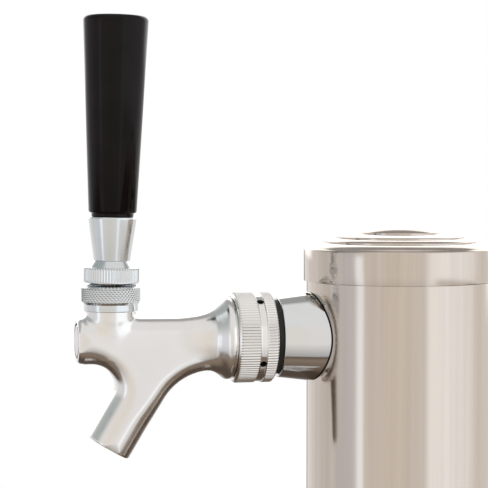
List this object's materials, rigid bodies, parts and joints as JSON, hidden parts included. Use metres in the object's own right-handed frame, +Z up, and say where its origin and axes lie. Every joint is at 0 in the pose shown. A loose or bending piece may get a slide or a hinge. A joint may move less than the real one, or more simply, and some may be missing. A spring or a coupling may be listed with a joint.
{
  "type": "beer tap tower",
  "caption": "Round column draught tower with a stepped lid, a side faucet with a knurled coupling nut and bonnet, and a tapered pull handle.",
  "frame": {"origin": "centre of the underside of the base, on the counter, which is the centre of the base's screw circle", "axes": "+Z up along the column, -Y towards the faucet and the person pouring, X across"},
  "size_m": [0.127, 0.1967, 0.4226],
  "materials": {
    "stainless_column": "polished stainless sheet",
    "stainless_cast": "satin polished cast stainless",
    "stainless_satin": "turned stainless",
    "chrome_plate": "polished plate",
    "brass_plain": "machined",
    "handle_black": "gloss moulded",
    "plastic_plug": "moulded",
    "seal_white": "moulded seal",
    "rubber_black": "moulded rubber"
  },
  "bodies": {
    "tower": {"base_gasket": "rubber_black", "base_flange": "stainless_satin", "column": "stainless_column", "shank": "chrome_plate", "shank_sleeve": "chrome_plate", "sleeve_gasket": "rubber_black", "shank_washer": "rubber_black", "inner_saddle_washer": "plastic_plug", "shank_lock_nut": "brass_plain", "tailpiece_gasket": "rubber_black", "tailpiece": "stainless_satin", "tailpiece_nut": "chrome_plate", "coupling_washer": "seal_white", "faucet_body": "stainless_cast", "ball_washer": "seal_white", "friction_washer": "seal_white", "bonnet": "chrome_plate"},
    "cap": {"cap_shell": "stainless_column", "cap_plug": "plastic_plug", "cap_o_ring": "rubber_black"},
    "coupling_nut": {"coupling_nut": "chrome_plate"},
    "lever": {"lever": "stainless_satin", "lever_collar": "chrome_plate", "handle_ferrule": "chrome_plate", "handle_insert": "brass_plain", "handle": "handle_black"},
    "shaft": {"faucet_shaft": "stainless_satin", "seat_washer": "rubber_black", "shaft_nut": "stainless_satin"}
  },
  "joints": [
    {"name": "lever_tilt", "type": "hinge", "parent": "tower", "child": "lever", "pos_m": [0, -0.1195, 0.3064], "axis": [1, 0, 0], "range_deg": [0, 25]},
    {"name": "shaft_slide", "type": "slide", "parent": "tower", "child": "shaft", "axis": [0, 1, 0], "range_m": [0, 0.0053]},
    {"name": "cap_lift", "type": "slide", "parent": "tower", "child": "cap", "axis": [0, 0, 1], "range_m": [0, 0.045]},
    {"name": "coupling_nut_turn", "type": "hinge", "parent": "tower", "child": "coupling_nut", "pos_m": [0, -0.064, 0.2944], "axis": [0, -1, 0], "continuous": true}
  ],
  "couplings": [
    {"joint": "shaft_slide", "follows": "lever_tilt", "m_per_rad": 0.0118}
  ]
}
